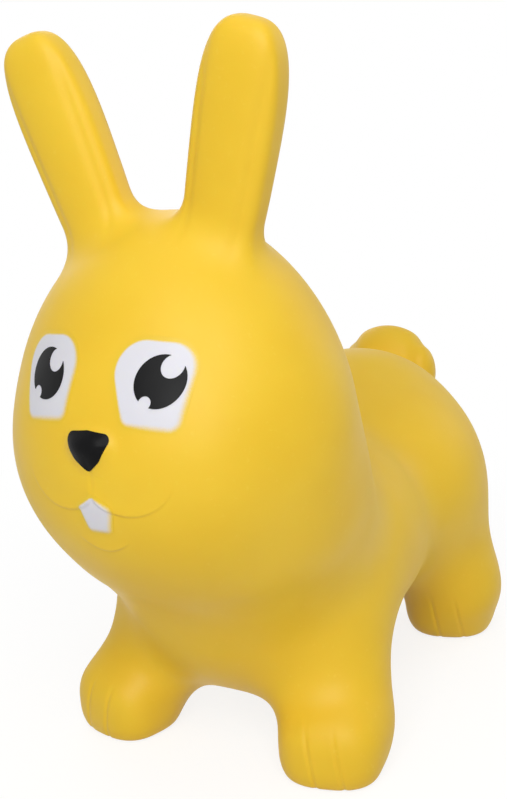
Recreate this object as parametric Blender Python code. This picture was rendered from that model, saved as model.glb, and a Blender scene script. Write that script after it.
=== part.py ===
"""A bouncy ride-on rabbit for a small child: an inflatable animal moulded in one piece from
thick soft PVC, blown up through a valve hole under its belly, with a push-in plug in the hole
and its eyes, nose and tooth painted on.

Metres, +Z up.  The rabbit faces -Y, its own left side is +X, and it stands on the ground plane
with the origin under the middle of its length.

The animal is a set of soft eggs (head, cheeks, torso, haunches, legs, paws, ears and so on)
that melt into each other.  Each egg has its own sizes, and its place follows the egg that
carries it.  A mesh starts as rough eggs joined by a remesh, and every point then settles where
the melted eggs' distance is zero, or one wall thickness inside them.
"""

import math

import bmesh
import bpy
import numpy as np
from mathutils import Euler, Vector
from mathutils.bvhtree import BVHTree
from mathutils.geometry import interpolate_bezier

# Overall sizes
SEAT_HEIGHT = 0.253
WALL = 0.0022
LEAST_WALL_SHARE = 0.7

# Body eggs: the full width (X), length (Y) and height (Z) of each
TORSO_WIDTH = 0.247
TORSO_LENGTH = 0.324
TORSO_HEIGHT = 0.205
TORSO_PITCH = math.radians(-7)
RUMP_WIDTH = 0.210
RUMP_LENGTH = 0.208
RUMP_HEIGHT = 0.196
CHEST_WIDTH = 0.168
CHEST_LENGTH = 0.168
CHEST_HEIGHT = 0.193
HAUNCH_WIDTH = 0.134
HAUNCH_LENGTH = 0.144
HAUNCH_HEIGHT = 0.144

# Head eggs
HEAD_WIDTH = 0.265
HEAD_LENGTH = 0.222
HEAD_HEIGHT = 0.298
HEAD_TAPER = -0.09
MUZZLE_WIDTH = 0.154
MUZZLE_LENGTH = 0.087
MUZZLE_HEIGHT = 0.117
CHEEK_WIDTH = 0.141

# Ears, the two grips: an ear stands EAR_SUNK deep in the head
EAR_WIDTH = 0.0605
EAR_THICKNESS = 0.040
EAR_LENGTH = 0.199
EAR_SUNK = 0.050
EAR_SPLAY = math.radians(16.5)
EAR_LEAN = math.radians(5.8)
EAR_TAPER = 0.113
EAR_SECTION = 3.2
EAR_PROFILE = 3.0
EAR_FRONT = 0.0098
EAR_FOLD = 0.006
EAR_PILLOW = 0.005
EAR_RIM = 0.009
EAR_VALLEY_REACH = 0.0035
EAR_VALLEY_DEPTH = 0.0012

# Legs and paws
FRONT_LEG_WIDTH = 0.086
FRONT_LEG_LENGTH = 0.157
FRONT_LEG_SPLAY = math.radians(-22)
FRONT_LEG_LEAN = math.radians(-22)
REAR_LEG_WIDTH = 0.091
REAR_LEG_LENGTH = 0.147
REAR_LEG_SPLAY = math.radians(-23)
REAR_LEG_LEAN = math.radians(6)
FRONT_PAW_WIDTH = 0.0815
FRONT_PAW_LENGTH = 0.0725
FRONT_PAW_HEIGHT = 0.0695
FRONT_PAW_RISE = 0.0215
FRONT_PAW_TURN = math.radians(14)
REAR_PAW_WIDTH = 0.085
REAR_PAW_LENGTH = 0.0895
REAR_PAW_HEIGHT = 0.070
REAR_PAW_RISE = 0.0245
REAR_PAW_TURN = math.radians(17)
PAW_SQUARENESS = 2.6

# Tail
TAIL_WIDTH = 0.098
TAIL_LENGTH = 0.061
TAIL_HEIGHT = 0.092
TAIL_LOBE_WIDTH = 0.070
TAIL_GROOVE_REACH = 0.0045
TAIL_GROOVE_DEPTH = 0.0035

# Where each egg's centre lies, in shares of the half sizes of the egg that carries it
RUMP_PLACE_SHARES = (0, 1.015, 0.25)
CHEST_PLACE_SHARES = (0, -0.355, -0.14)
HAUNCH_PLACE_SHARES = (0.54, 0.83, 0.11)
HEAD_PLACE_SHARES = (0, -0.87, 1.39)
MUZZLE_PLACE_SHARES = (0, -0.555, -0.115)
CHEEK_PLACE_SHARES = (0.37, 0.39, -0.55)
EAR_ROOT_SHARES = (0.366, -0.135, 0.89)
FRONT_LEG_PLACE_SHARES = (0.635, -0.42)
FRONT_LEG_RISE_SHARE = 0.99
REAR_LEG_PLACE_SHARES = (0.69, 0.99)
REAR_LEG_RISE_SHARE = 1.22
FRONT_PAW_PLACE_SHARES = (0.78, -0.705)
REAR_PAW_PLACE_SHARES = (0.71, 1.115)
TAIL_PLACE_SHARES = (0, 0.825, 0.61)

# How far the eggs melt into each other
MUZZLE_MELT = 0.050
CHEEK_MELT = 0.050
BODY_MELT = 0.060
HAUNCH_MELT = 0.040
PAW_MELT = 0.025
LEG_MELT = 0.045
NECK_MELT = 0.035
EAR_MELT = 0.022
TAIL_MELT = 0.008
NOSE_MELT = 0.008
SOLE_ROUNDING = 0.012

# Face, all measured in the front view
FACE_SHARES = {
    "eye": (0.32, 0.305),
    "nose": (0, 0.02),
    "mouth": (0, -0.195),
    "chin": (0, -0.49),
}
EYE_WIDTH = 0.055
EYE_HEIGHT = 0.055
EYE_CORNER = 0.018
EYE_FOOT_SHARE = 0.84
PUPIL_WIDTH = 0.033
PUPIL_INSET = 0.003
GLINT_WIDTH = 0.0145
GLINT_SHARES = (0.39, 0.55)
SMALL_GLINT_WIDTH = 0.0085
SMALL_GLINT_SHARES = (-0.46, -0.78)
NOSE_WIDTH = 0.034
NOSE_HEIGHT = 0.028
NOSE_CORNER = 0.007
NOSE_TIP = 0.005
NOSE_TAPER = 0.3
NOSE_RELIEF = 0.006
NOSE_LENGTH = 0.024
TOOTH_WIDTH = 0.024
TOOTH_FOOT_WIDTH = 0.017
TOOTH_HEIGHT = 0.025
TOOTH_SHOULDER_DROP = 0.009
TOOTH_CORNER = 0.002
TOOTH_RELIEF = 0.0015
MOUTH_HALF_WIDTH = 0.066
MOUTH_DROP = 0.022
MOUTH_SHARES = ((0, 0), (0.18, -0.82), (0.82, -1.0), (1.0, 0.73))
CHIN_WIDTH = 0.044
CHIN_RISE = 0.0065
CREASE_WIDTH = 0.003
LIP_CREASE_WIDTH = 0.002
CREASE_DEPTH = 0.0012
CREASE_STATIONS = 14

# Toe creases, two on each paw
TOE_SPACING = 0.022
TOE_CREASE_TOP = 0.047
TOE_CREASE_FOOT = 0.004
TOE_LEAN_SHARE = 0.15

# Paint: a thin film over the skin
PAINT = 0.0006
PAINT_GAP = 0.0003

# Valve under the belly and its plug
VALVE_SHARE = 0.15
VALVE_PAD_WIDTH = 0.050
VALVE_PAD_RELIEF = 0.002
VALVE_BOSS_WIDTH = 0.024
VALVE_BOSS_HEIGHT = 0.011
VALVE_BORE = 0.010
PLUG_HEAD_WIDTH = 0.021
PLUG_HEAD_THICKNESS = 0.0026
PLUG_STEM_LENGTH = 0.017
PLUG_NECK = 0.0076
PLUG_TIP_WIDTH = 0.0055
PLUG_RIBS = 3
PLUG_RIB_PITCH = 0.004
PLUG_FIT = 0.0003

# Meshes
SKIN_VOXEL = 0.0045
CAVITY_VOXEL = 0.008
SKIN_FACETS = 7900
CAVITY_FACETS = 2000
PROBE = 0.0005
OVERRUN = 0.010
ROUND_SIDES = 28
GROUND_TRIM = 0.0005


class Egg:
    """A soft egg that may lean, taper and be squarer than round.

    Squareness 2 is round and more is boxier: section for the cross-section, profile for
    the outline along its own height.
    """

    def __init__(self, size, centre, turns=(0, 0, 0), taper=0.0, section=2.0, profile=2.0):
        self.radii = np.array(size) / 2
        self.centre = np.array(centre, float)
        self.turn = np.array(Euler(turns).to_matrix())
        self.taper = taper
        self.section = section
        self.profile = profile

    def place(self, shares):
        """The point that lies at these shares of the half sizes from the centre."""
        return self.centre + self.radii * shares

    def local(self, points):
        return (points - self.centre) @ self.turn

    def distance(self, points):
        """Distance from the surface, negative inside, and exact close to the surface."""
        local = self.local(points)
        height = np.clip(local[:, 2] / self.radii[2], -1.2, 1.2)
        swell = 1 + self.taper * height
        unit = local / self.radii
        unit[:, :2] /= swell[:, None]
        size = np.abs(unit) + 1e-9
        section, profile = self.section, self.profile
        if section == 2 and profile == 2:
            norm = np.sqrt((size**2).sum(axis=1))
            slope = unit / norm[:, None]
        else:
            ring = (size[:, :2] ** section).sum(axis=1)
            norm = (ring ** (profile / section) + size[:, 2] ** profile) ** (1 / profile)
            slope = np.sign(unit)
            slope[:, :2] *= (
                size[:, :2] ** (section - 1) * (ring ** (profile / section - 1))[:, None]
            )
            slope[:, 2] *= size[:, 2] ** (profile - 1)
            slope *= (norm ** (1 - profile))[:, None]
        slope /= self.radii
        slope[:, :2] /= swell[:, None]
        pull = (slope[:, :2] * local[:, :2]).sum(axis=1) / swell
        slope[:, 2] -= pull * self.taper / self.radii[2] * (np.abs(height) < 1.2)
        return (norm - 1) / (np.sqrt((slope**2).sum(axis=1)) + 1e-9)

    def surface(self, directions):
        """Points on the surface towards these unit directions, for a rough mesh."""
        size = np.abs(directions)
        ring = (size[:, :2] ** self.section).sum(axis=1) ** (self.profile / self.section)
        norm = (ring + size[:, 2] ** self.profile) ** (1 / self.profile)
        unit = directions / norm[:, None]
        unit[:, :2] *= (1 + self.taper * unit[:, 2])[:, None]
        return self.centre + (unit * self.radii) @ self.turn.T


def melt(a, b, reach):
    """The union of two distances, rounded where they are within reach of each other."""
    near = np.clip(reach - np.abs(a - b), 0, None) / reach
    return np.minimum(a, b) - near * near * reach / 4


# The body
torso = Egg(
    (TORSO_WIDTH, TORSO_LENGTH, TORSO_HEIGHT),
    (0, 0, SEAT_HEIGHT - TORSO_HEIGHT / 2),
    turns=(TORSO_PITCH, 0, 0),
)
rump = Egg((RUMP_WIDTH, RUMP_LENGTH, RUMP_HEIGHT), torso.place(RUMP_PLACE_SHARES))
chest = Egg((CHEST_WIDTH, CHEST_LENGTH, CHEST_HEIGHT), torso.place(CHEST_PLACE_SHARES))
haunch = Egg((HAUNCH_WIDTH, HAUNCH_LENGTH, HAUNCH_HEIGHT), torso.place(HAUNCH_PLACE_SHARES))
tail = Egg((TAIL_WIDTH, TAIL_LENGTH, TAIL_HEIGHT), rump.place(TAIL_PLACE_SHARES))

# The head
head = Egg(
    (HEAD_WIDTH, HEAD_LENGTH, HEAD_HEIGHT), torso.place(HEAD_PLACE_SHARES), taper=HEAD_TAPER
)
muzzle = Egg((MUZZLE_WIDTH, MUZZLE_LENGTH, MUZZLE_HEIGHT), head.place(MUZZLE_PLACE_SHARES))
cheek = Egg((CHEEK_WIDTH, CHEEK_WIDTH, CHEEK_WIDTH), head.place(CHEEK_PLACE_SHARES))


def make_ear():
    turns = (EAR_LEAN, EAR_SPLAY, 0)
    upward = np.array(Euler(turns).to_matrix() @ Vector((0, 0, 1)))
    root = head.place(EAR_ROOT_SHARES)
    return Egg(
        (EAR_WIDTH, EAR_THICKNESS, EAR_LENGTH),
        root + upward * (EAR_LENGTH / 2 - EAR_SUNK),
        turns=turns,
        taper=EAR_TAPER,
        section=EAR_SECTION,
        profile=EAR_PROFILE,
    )


def make_leg(width, length, place_shares, rise_share, splay, lean):
    x, y, _ = torso.place((*place_shares, 0))
    centre = (x, y, length / 2 * rise_share)
    return Egg((width, width, length), centre, turns=(lean, splay, 0), profile=3)


def make_paw(width, length, height, rise, turn, place_shares):
    x, y, _ = torso.place((*place_shares, 0))
    return Egg(
        (width, length, height),
        (x, y, rise),
        turns=(0, 0, turn),
        section=PAW_SQUARENESS,
        profile=PAW_SQUARENESS,
    )


ear = make_ear()
front_leg = make_leg(
    FRONT_LEG_WIDTH,
    FRONT_LEG_LENGTH,
    FRONT_LEG_PLACE_SHARES,
    FRONT_LEG_RISE_SHARE,
    FRONT_LEG_SPLAY,
    FRONT_LEG_LEAN,
)
rear_leg = make_leg(
    REAR_LEG_WIDTH,
    REAR_LEG_LENGTH,
    REAR_LEG_PLACE_SHARES,
    REAR_LEG_RISE_SHARE,
    REAR_LEG_SPLAY,
    REAR_LEG_LEAN,
)
front_paw = make_paw(
    FRONT_PAW_WIDTH,
    FRONT_PAW_LENGTH,
    FRONT_PAW_HEIGHT,
    FRONT_PAW_RISE,
    FRONT_PAW_TURN,
    FRONT_PAW_PLACE_SHARES,
)
rear_paw = make_paw(
    REAR_PAW_WIDTH,
    REAR_PAW_LENGTH,
    REAR_PAW_HEIGHT,
    REAR_PAW_RISE,
    REAR_PAW_TURN,
    REAR_PAW_PLACE_SHARES,
)


def plain_body(points):
    """Distance from the body, head and legs without any small relief."""
    body = melt(torso.distance(points), rump.distance(points), BODY_MELT)
    body = melt(body, chest.distance(points), BODY_MELT)
    body = melt(body, haunch.distance(points), HAUNCH_MELT)
    front = melt(front_leg.distance(points), front_paw.distance(points), PAW_MELT)
    rear = melt(rear_leg.distance(points), rear_paw.distance(points), PAW_MELT)
    body = melt(body, np.minimum(front, rear), LEG_MELT)
    face = melt(head.distance(points), muzzle.distance(points), MUZZLE_MELT)
    face = melt(face, cheek.distance(points), CHEEK_MELT)
    return melt(body, face, NECK_MELT)


def crossing(start, direction, span):
    """The first point of the plain body met from start along a direction, within span."""
    start, direction = np.array(start, float), np.array(direction, float)
    steps = np.linspace(0, span, 64)
    inside = plain_body(start + steps[:, None] * direction) < 0
    near, far = steps[inside.argmax() - 1], steps[inside.argmax()]
    for _ in range(24):
        middle = (near + far) / 2
        if plain_body((start + middle * direction)[None])[0] < 0:
            far = middle
        else:
            near = middle
    return start + far * direction


def face_point(name):
    """The point of the skin at a feature's place in the front view."""
    x_share, z_share = FACE_SHARES[name]
    x, _, z = head.place((x_share, 0, z_share))
    return crossing((x, head.centre[1] - HEAD_LENGTH, z), (0, 1, 0), HEAD_LENGTH)


eye_point = face_point("eye")
nose_point = face_point("nose")
mouth_point = face_point("mouth")
chin_point = face_point("chin")
nose = Egg(
    (NOSE_WIDTH, NOSE_LENGTH, NOSE_HEIGHT),
    nose_point + (0, NOSE_LENGTH / 2 - NOSE_RELIEF, 0),
    taper=NOSE_TAPER,
)

valve_x, valve_y, _ = torso.place((0, VALVE_SHARE, 0))
belly = crossing((valve_x, valve_y, 0), (0, 0, 1), SEAT_HEIGHT / 2)
valve_face = belly[2] - VALVE_PAD_RELIEF
valve_pad = Egg(
    (VALVE_PAD_WIDTH, VALVE_PAD_WIDTH, VALVE_PAD_WIDTH / 2),
    (valve_x, valve_y, valve_face + VALVE_PAD_WIDTH / 4),
    profile=6,
)


def groove(x):
    """1 at 0 and falling smoothly to 0 on both sides."""
    return np.exp(-(x**2))


def tail_relief(points):
    """Two grooves that split the tail into three lobes."""
    x = np.abs(tail.local(points)[:, 0])
    return TAIL_GROOVE_DEPTH * groove((x - TAIL_LOBE_WIDTH / 2) / TAIL_GROOVE_REACH)


def ear_distance(points):
    """Distance from the left ear, an egg whose front is cut to a pillowed panel in a rim."""
    x, y, z = ear.local(points).T
    height = np.clip(z / ear.radii[2], -1, 1)
    half_width = ear.radii[0] * (1 + ear.taper * height)
    pillow = EAR_PILLOW * (1 - (x / half_width) ** 2)
    valley = EAR_VALLEY_DEPTH * groove((half_width - EAR_RIM - np.abs(x)) / EAR_VALLEY_REACH)
    panel = valley - pillow - EAR_FRONT - y
    return -melt(-ear.distance(points), -panel, EAR_FOLD)


def rabbit(points):
    """Distance from the whole animal, worked out on its left half and mirrored."""
    points = points * (1, 1, 1)
    points[:, 0] = np.abs(points[:, 0])
    whole = plain_body(points)
    whole = melt(whole, ear_distance(points), EAR_MELT)
    whole = melt(whole, tail.distance(points) + tail_relief(points), TAIL_MELT)
    whole = melt(whole, nose.distance(points), NOSE_MELT)
    whole = melt(whole, valve_pad.distance(points), NOSE_MELT)
    return -melt(-whole, points[:, 2] + GROUND_TRIM, SOLE_ROUNDING)


EGGS = [torso, rump, chest, tail, head, muzzle, nose, valve_pad]
PAIRED_EGGS = [haunch, cheek, ear, front_leg, rear_leg, front_paw, rear_paw]


def slope_at(points):
    """The slope of the distance, from four probes at the corners of a tetrahedron."""
    corners = np.array([(1, 1, 1), (1, -1, -1), (-1, 1, -1), (-1, -1, 1)], float)
    return sum(c * rabbit(points + c * PROBE)[:, None] for c in corners) / (4 * PROBE)


def settle(points, level, rounds):
    """Moves the points along the distance's slope until they lie at the level."""
    for _ in range(rounds):
        slope = slope_at(points)
        steep = np.clip((slope**2).sum(axis=1), 0.1, None)
        points = points - slope * ((rabbit(points) - level) / steep)[:, None]
    return points


def relax(points, edges):
    """Moves each point halfway to the middle of its neighbours."""
    count = np.bincount(edges.ravel(), minlength=len(points))
    middle = np.empty_like(points)
    for axis in range(3):
        ends = points[:, axis][edges]
        total = np.bincount(edges[:, 0], ends[:, 1], len(points))
        total += np.bincount(edges[:, 1], ends[:, 0], len(points))
        middle[:, axis] = total / count
    return (points + middle) / 2


def add_object(name, mesh):
    obj = bpy.data.objects.new(name, mesh)
    bpy.context.collection.objects.link(obj)
    return obj


def applied(obj):
    """The mesh that an object's modifiers give, with the object itself removed."""
    depsgraph = bpy.context.evaluated_depsgraph_get()
    mesh = bpy.data.meshes.new_from_object(obj.evaluated_get(depsgraph))
    bpy.data.objects.remove(obj)
    return mesh


def rough_mesh(voxel):
    """The eggs as separate shells, joined into one by a voxel remesh."""
    ball = bmesh.new()
    bmesh.ops.create_icosphere(ball, subdivisions=5, radius=1)
    directions = np.array([v.co for v in ball.verts])
    faces = np.array([[v.index for v in f.verts] for f in ball.faces])
    ball.free()
    shells = [e.surface(directions) for e in EGGS + PAIRED_EGGS]
    shells += [e.surface(directions) * (-1, 1, 1) for e in PAIRED_EGGS]
    mesh = bpy.data.meshes.new("rough")
    mesh.from_pydata(
        np.concatenate(shells),
        [],
        np.concatenate([faces + i * len(directions) for i in range(len(shells))]),
    )
    obj = add_object("rough", mesh)
    remesh = obj.modifiers.new("join", "REMESH")
    remesh.mode = "VOXEL"
    remesh.voxel_size = voxel
    return applied(obj)


def settled_mesh(name, level, voxel, facets):
    """The animal's surface at a level, symmetric and with about this many triangles."""
    mesh = rough_mesh(voxel)
    points = np.empty(len(mesh.vertices) * 3)
    mesh.vertices.foreach_get("co", points)
    points = points.reshape(-1, 3)
    edges = np.empty(len(mesh.edges) * 2, dtype=np.int64)
    mesh.edges.foreach_get("vertices", edges)
    edges = edges.reshape(-1, 2)
    for _ in range(3):
        points = relax(settle(points, level, 1), edges)
    points = settle(points, level, 2)
    mesh.vertices.foreach_set("co", points.ravel())
    shape = bmesh.new()
    shape.from_mesh(mesh)
    everything = [*shape.verts, *shape.edges, *shape.faces]
    bmesh.ops.symmetrize(shape, input=everything, direction="X", dist=PROBE / 10)
    bmesh.ops.triangulate(shape, faces=shape.faces)
    shape.to_mesh(mesh)
    shape.free()
    obj = add_object(name, mesh)
    decimate = obj.modifiers.new("coarser", "DECIMATE")
    decimate.ratio = facets / len(mesh.polygons)
    decimate.use_symmetry = True
    return applied(obj)


def draw_in(mesh, depth):
    """Moves a coarse mesh's points inwards until its facets keep this deep inside the animal."""
    points = np.array([v.co for v in mesh.vertices])
    corners = np.array([p.vertices for p in mesh.polygons])
    for _ in range(4):
        a, b, c = (points[corners[:, i]] for i in range(3))
        samples = ((a + b + c) / 3, (a + b) / 2, (b + c) / 2, (c + a) / 2)
        excess = np.max([rabbit(s) + depth for s in samples], axis=0).clip(0)
        push = np.zeros(len(points))
        np.maximum.at(push, corners.ravel(), np.repeat(excess, 3))
        points -= slope_at(points) * push[:, None]
    mesh.vertices.foreach_set("co", points.ravel())


def boolean(obj, cutter, operation="DIFFERENCE"):
    modifier = obj.modifiers.new(cutter.name, "BOOLEAN")
    modifier.operation = operation
    modifier.object = cutter
    modifier.solver = "EXACT"


def make_cutter(name, mesh):
    cutter = add_object(name, mesh)
    cutter.hide_render = True
    cutter.display_type = "WIRE"
    return cutter


def ring_mesh(name, rings):
    """A closed tube through rings of points that all have the same number of points."""
    count = len(rings[0])
    faces = []
    for i in range(len(rings) - 1):
        for j in range(count):
            k = (j + 1) % count
            faces.append((i * count + j, i * count + k, (i + 1) * count + k, (i + 1) * count + j))
    faces.append(tuple(range(count))[::-1])
    faces.append(tuple(range((len(rings) - 1) * count, len(rings) * count)))
    mesh = bpy.data.meshes.new(name)
    mesh.from_pydata([tuple(p) for ring in rings for p in ring], [], faces)
    shape = bmesh.new()
    shape.from_mesh(mesh)
    bmesh.ops.recalc_face_normals(shape, faces=shape.faces)
    shape.to_mesh(mesh)
    shape.free()
    return mesh


def turned_mesh(name, outline, x, y):
    """A solid turned about an upright axis from an outline of (radius, height) points."""
    angles = [2 * math.pi * i / ROUND_SIDES for i in range(ROUND_SIDES)]
    rings = [
        [(x + r * math.cos(a), y + r * math.sin(a), z) for a in angles] for r, z in outline
    ]
    return ring_mesh(name, rings)


def outline_around(discs):
    """The line stretched around discs, each an (x, z, radius) in the front view."""
    line = []
    for i in range(ROUND_SIDES):
        angle = 2 * math.pi * i / ROUND_SIDES
        ux, uz = math.cos(angle), math.sin(angle)
        x, z, radius = max(discs, key=lambda d: d[0] * ux + d[1] * uz + d[2])
        point = (x + radius * ux, z + radius * uz)
        if not line or math.dist(point, line[-1]) > PROBE / 10:
            line.append(point)
    return line


def face_prism(name, outline):
    """A prism along Y that reaches from before the face into the head."""
    front = nose.centre[1] - nose.radii[1] - OVERRUN
    back = head.centre[1] - head.radii[1] / 3
    rings = [[(x, y, z) for x, z in outline] for y in (front, back)]
    return make_cutter(name, ring_mesh(name, rings))


def clear_scene():
    for obj in list(bpy.data.objects):
        bpy.data.objects.remove(obj)


def plastic(name, colour, roughness):
    material = bpy.data.materials.new(name)
    material.use_nodes = True
    shader = material.node_tree.nodes["Principled BSDF"]
    shader.inputs["Base Color"].default_value = (*colour, 1)
    shader.inputs["Roughness"].default_value = roughness
    shader.inputs["Metallic"].default_value = 0
    return material


def tree_of(mesh):
    points = [v.co for v in mesh.vertices]
    return BVHTree.FromPolygons(points, [tuple(p.vertices) for p in mesh.polygons])


def crease(name, tree, rays, width=CREASE_WIDTH):
    """A blade that cuts a crease into the skin under a row of (start, direction) rays.

    Its section is a wedge that widens along the ray, out of the skin by as much as the crease
    is deep, and it fades out towards both ends.
    """
    points = [tree.ray_cast(Vector(start), Vector(direction))[0] for start, direction in rays]
    rings = []
    for i, (point, (_, direction)) in enumerate(zip(points, rays)):
        run = points[min(i + 1, len(points) - 1)] - points[max(i - 1, 0)]
        outward = -Vector(direction)
        half_width = run.cross(outward).normalized() * width / 2
        fade = math.sqrt(math.sin(math.pi * (i + 0.5) / len(points)))
        foot = point - outward * CREASE_DEPTH * fade
        top = point + outward * CREASE_DEPTH
        rings.append([foot, top - half_width * (fade + 1), top + half_width * (fade + 1)])
    return make_cutter(name, ring_mesh(name, rings))


def front_rays(curve):
    """Rays along +Y through a row of (x, z) points of the front view."""
    front = nose.centre[1] - nose.radii[1] - OVERRUN
    return [((x, front, z), (0, 1, 0)) for x, z in curve]


def mouth_curve(side):
    knots = [
        Vector((side * x * MOUTH_HALF_WIDTH, mouth_point[2] + z * MOUTH_DROP, 0))
        for x, z in MOUTH_SHARES
    ]
    points = interpolate_bezier(knots[0], knots[1], knots[2], knots[3], CREASE_STATIONS)
    return [(p.x, p.y) for p in points]


def toe_rays(paw, side, mirror):
    """Rays from before a paw, along its own length, from near the sole to the crease's top."""
    forward = paw.turn @ (0, -1, 0)
    across = paw.turn @ (1, 0, 0)
    rays = []
    for rise in np.linspace(TOE_CREASE_FOOT, TOE_CREASE_TOP, CREASE_STATIONS):
        sideways = side * TOE_SPACING / 2 + (TOE_CREASE_TOP / 2 - rise) * TOE_LEAN_SHARE
        start = paw.centre + forward * paw.radii[1] * 2 + across * sideways
        start[2] = rise
        rays.append((start * (mirror, 1, 1), -forward * (mirror, 1, 1)))
    return rays


def make_creases(tree):
    blades = [crease("mouth_left", tree, front_rays(mouth_curve(1)))]
    blades.append(crease("mouth_right", tree, front_rays(mouth_curve(-1))))
    chin = [
        (CHIN_WIDTH * t / 2, chin_point[2] + CHIN_RISE * t * t)
        for t in np.linspace(-1, 1, CREASE_STATIONS)
    ]
    blades.append(crease("chin_crease", tree, front_rays(chin)))
    nose_foot = nose.centre[2] - nose.radii[2]
    lip = [(0, z) for z in np.linspace(nose_foot, mouth_point[2], CREASE_STATIONS)]
    blades.append(crease("lip_crease", tree, front_rays(lip), LIP_CREASE_WIDTH))
    for name, paw in (("front", front_paw), ("rear", rear_paw)):
        for mirror, hand in ((1, "left"), (-1, "right")):
            for side in (-1, 1):
                label = f"{name}_{hand}_toe_{'inner' if side < 0 else 'outer'}"
                blades.append(crease(label, tree, toe_rays(paw, side, mirror)))
    return blades


def make_skin():
    """The hollow moulding: outer surface less the air space, the creases and the valve hole."""
    mesh = settled_mesh("body_skin", 0, SKIN_VOXEL, SKIN_FACETS)
    skin = add_object("body_skin", mesh)
    ground = bpy.data.meshes.new("ground")
    shape = bmesh.new()
    bmesh.ops.create_cube(shape, size=1)
    reach = TORSO_LENGTH + HEAD_LENGTH + RUMP_LENGTH
    for vert in shape.verts:
        vert.co = (vert.co.x * reach, vert.co.y * reach, (vert.co.z - 0.5) * OVERRUN)
    shape.to_mesh(ground)
    shape.free()
    boolean(skin, make_cutter("ground", ground))
    skin_mesh = applied(skin)
    skin = add_object("body_skin", skin_mesh)
    tree = tree_of(skin_mesh)
    for blade in make_creases(tree):
        boolean(skin, blade)
    boss = make_cutter(
        "valve_boss",
        turned_mesh(
            "valve_boss",
            [
                (VALVE_BOSS_WIDTH / 2, valve_face - OVERRUN),
                (VALVE_BOSS_WIDTH / 2, valve_face + VALVE_BOSS_HEIGHT),
            ],
            valve_x,
            valve_y,
        ),
    )
    space = settled_mesh("air_space", -WALL, CAVITY_VOXEL, CAVITY_FACETS)
    draw_in(space, WALL * LEAST_WALL_SHARE)
    cavity = make_cutter("air_space", space)
    boolean(cavity, boss)
    boolean(skin, cavity)
    seat = valve_face + PLUG_HEAD_THICKNESS + PLUG_FIT
    bore = VALVE_BORE / 2
    hole = make_cutter(
        "valve_hole",
        turned_mesh(
            "valve_hole",
            [
                (PLUG_HEAD_WIDTH / 2 + PLUG_FIT, valve_face - OVERRUN),
                (PLUG_HEAD_WIDTH / 2 + PLUG_FIT, seat),
                (bore, seat),
                (bore, valve_face + VALVE_BOSS_HEIGHT + OVERRUN),
            ],
            valve_x,
            valve_y,
        ),
    )
    boolean(skin, hole)
    skin.data.materials.append(plastic("yellow soft PVC", (0.87, 0.58, 0.06), 0.45))
    return skin, skin_mesh


def face_mesh(skin_mesh):
    """The front of the head as a closed chunk, which the paint follows."""
    shape = bmesh.new()
    shape.from_mesh(skin_mesh)
    cuts = (
        (head.centre, (0, 1, 0)),
        (head.place((0, 0, 0.8)), (0, 0, 1)),
        (chest.place((0, 0, 0.5)), (0, 0, -1)),
    )
    for point, away in cuts:
        everything = [*shape.verts, *shape.edges, *shape.faces]
        cut = bmesh.ops.bisect_plane(
            shape, geom=everything, plane_co=point, plane_no=away, clear_outer=True
        )["geom_cut"]
        edges = [e for e in cut if isinstance(e, bmesh.types.BMEdge)]
        bmesh.ops.holes_fill(shape, edges=edges)
    bmesh.ops.triangulate(shape, faces=shape.faces)
    bmesh.ops.recalc_face_normals(shape, faces=shape.faces)
    mesh = bpy.data.meshes.new("face")
    shape.to_mesh(mesh)
    shape.free()
    return mesh


def lifted(name, mesh, lift):
    obj = add_object(name, mesh)
    displace = obj.modifiers.new("lift", "DISPLACE")
    displace.strength = lift
    displace.mid_level = 0
    return obj


def make_paint(name, mesh, bed_lift, prism, material, thickness=PAINT):
    """A film of paint: the face between two lifts, inside a prism."""
    bed = lifted(name + "_bed", mesh, bed_lift)
    bed.hide_render = True
    bed.display_type = "WIRE"
    film = lifted(name, mesh.copy(), bed_lift + thickness)
    boolean(film, prism, "INTERSECT")
    boolean(film, bed)
    film.data.materials.append(material)
    return film


def eye_outline(side):
    x, _, z = eye_point
    half_height = EYE_HEIGHT / 2 - EYE_CORNER
    half_width = EYE_WIDTH / 2 - EYE_CORNER
    foot = EYE_WIDTH / 2 * EYE_FOOT_SHARE - EYE_CORNER
    return outline_around(
        [
            (side * x + half_width, z + half_height, EYE_CORNER),
            (side * x - half_width, z + half_height, EYE_CORNER),
            (side * x + foot, z - half_height, EYE_CORNER),
            (side * x - foot, z - half_height, EYE_CORNER),
        ]
    )


def pupil_prism(name, side):
    """A round pupil with a large and a small glint bitten out of its edge."""
    x, _, z = eye_point
    middle = side * (x + PUPIL_INSET)
    radius = PUPIL_WIDTH / 2
    prism = face_prism(name, outline_around([(middle, z, radius)]))
    glints = ((GLINT_WIDTH, GLINT_SHARES), (SMALL_GLINT_WIDTH, SMALL_GLINT_SHARES))
    for i, (width, (across, up)) in enumerate(glints):
        disc = (middle + across * radius, z + up * radius, width / 2)
        boolean(prism, face_prism(f"{name}_glint_{i}", outline_around([disc])))
    return prism


def nose_outline():
    x, _, z = nose.centre
    shoulder = NOSE_WIDTH / 2 - NOSE_CORNER
    top, foot = NOSE_HEIGHT / 2 - NOSE_CORNER, NOSE_HEIGHT / 2 - NOSE_TIP
    return outline_around(
        [
            (x - shoulder, z + top, NOSE_CORNER),
            (x + shoulder, z + top, NOSE_CORNER),
            (x, z - foot, NOSE_TIP),
        ]
    )


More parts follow.
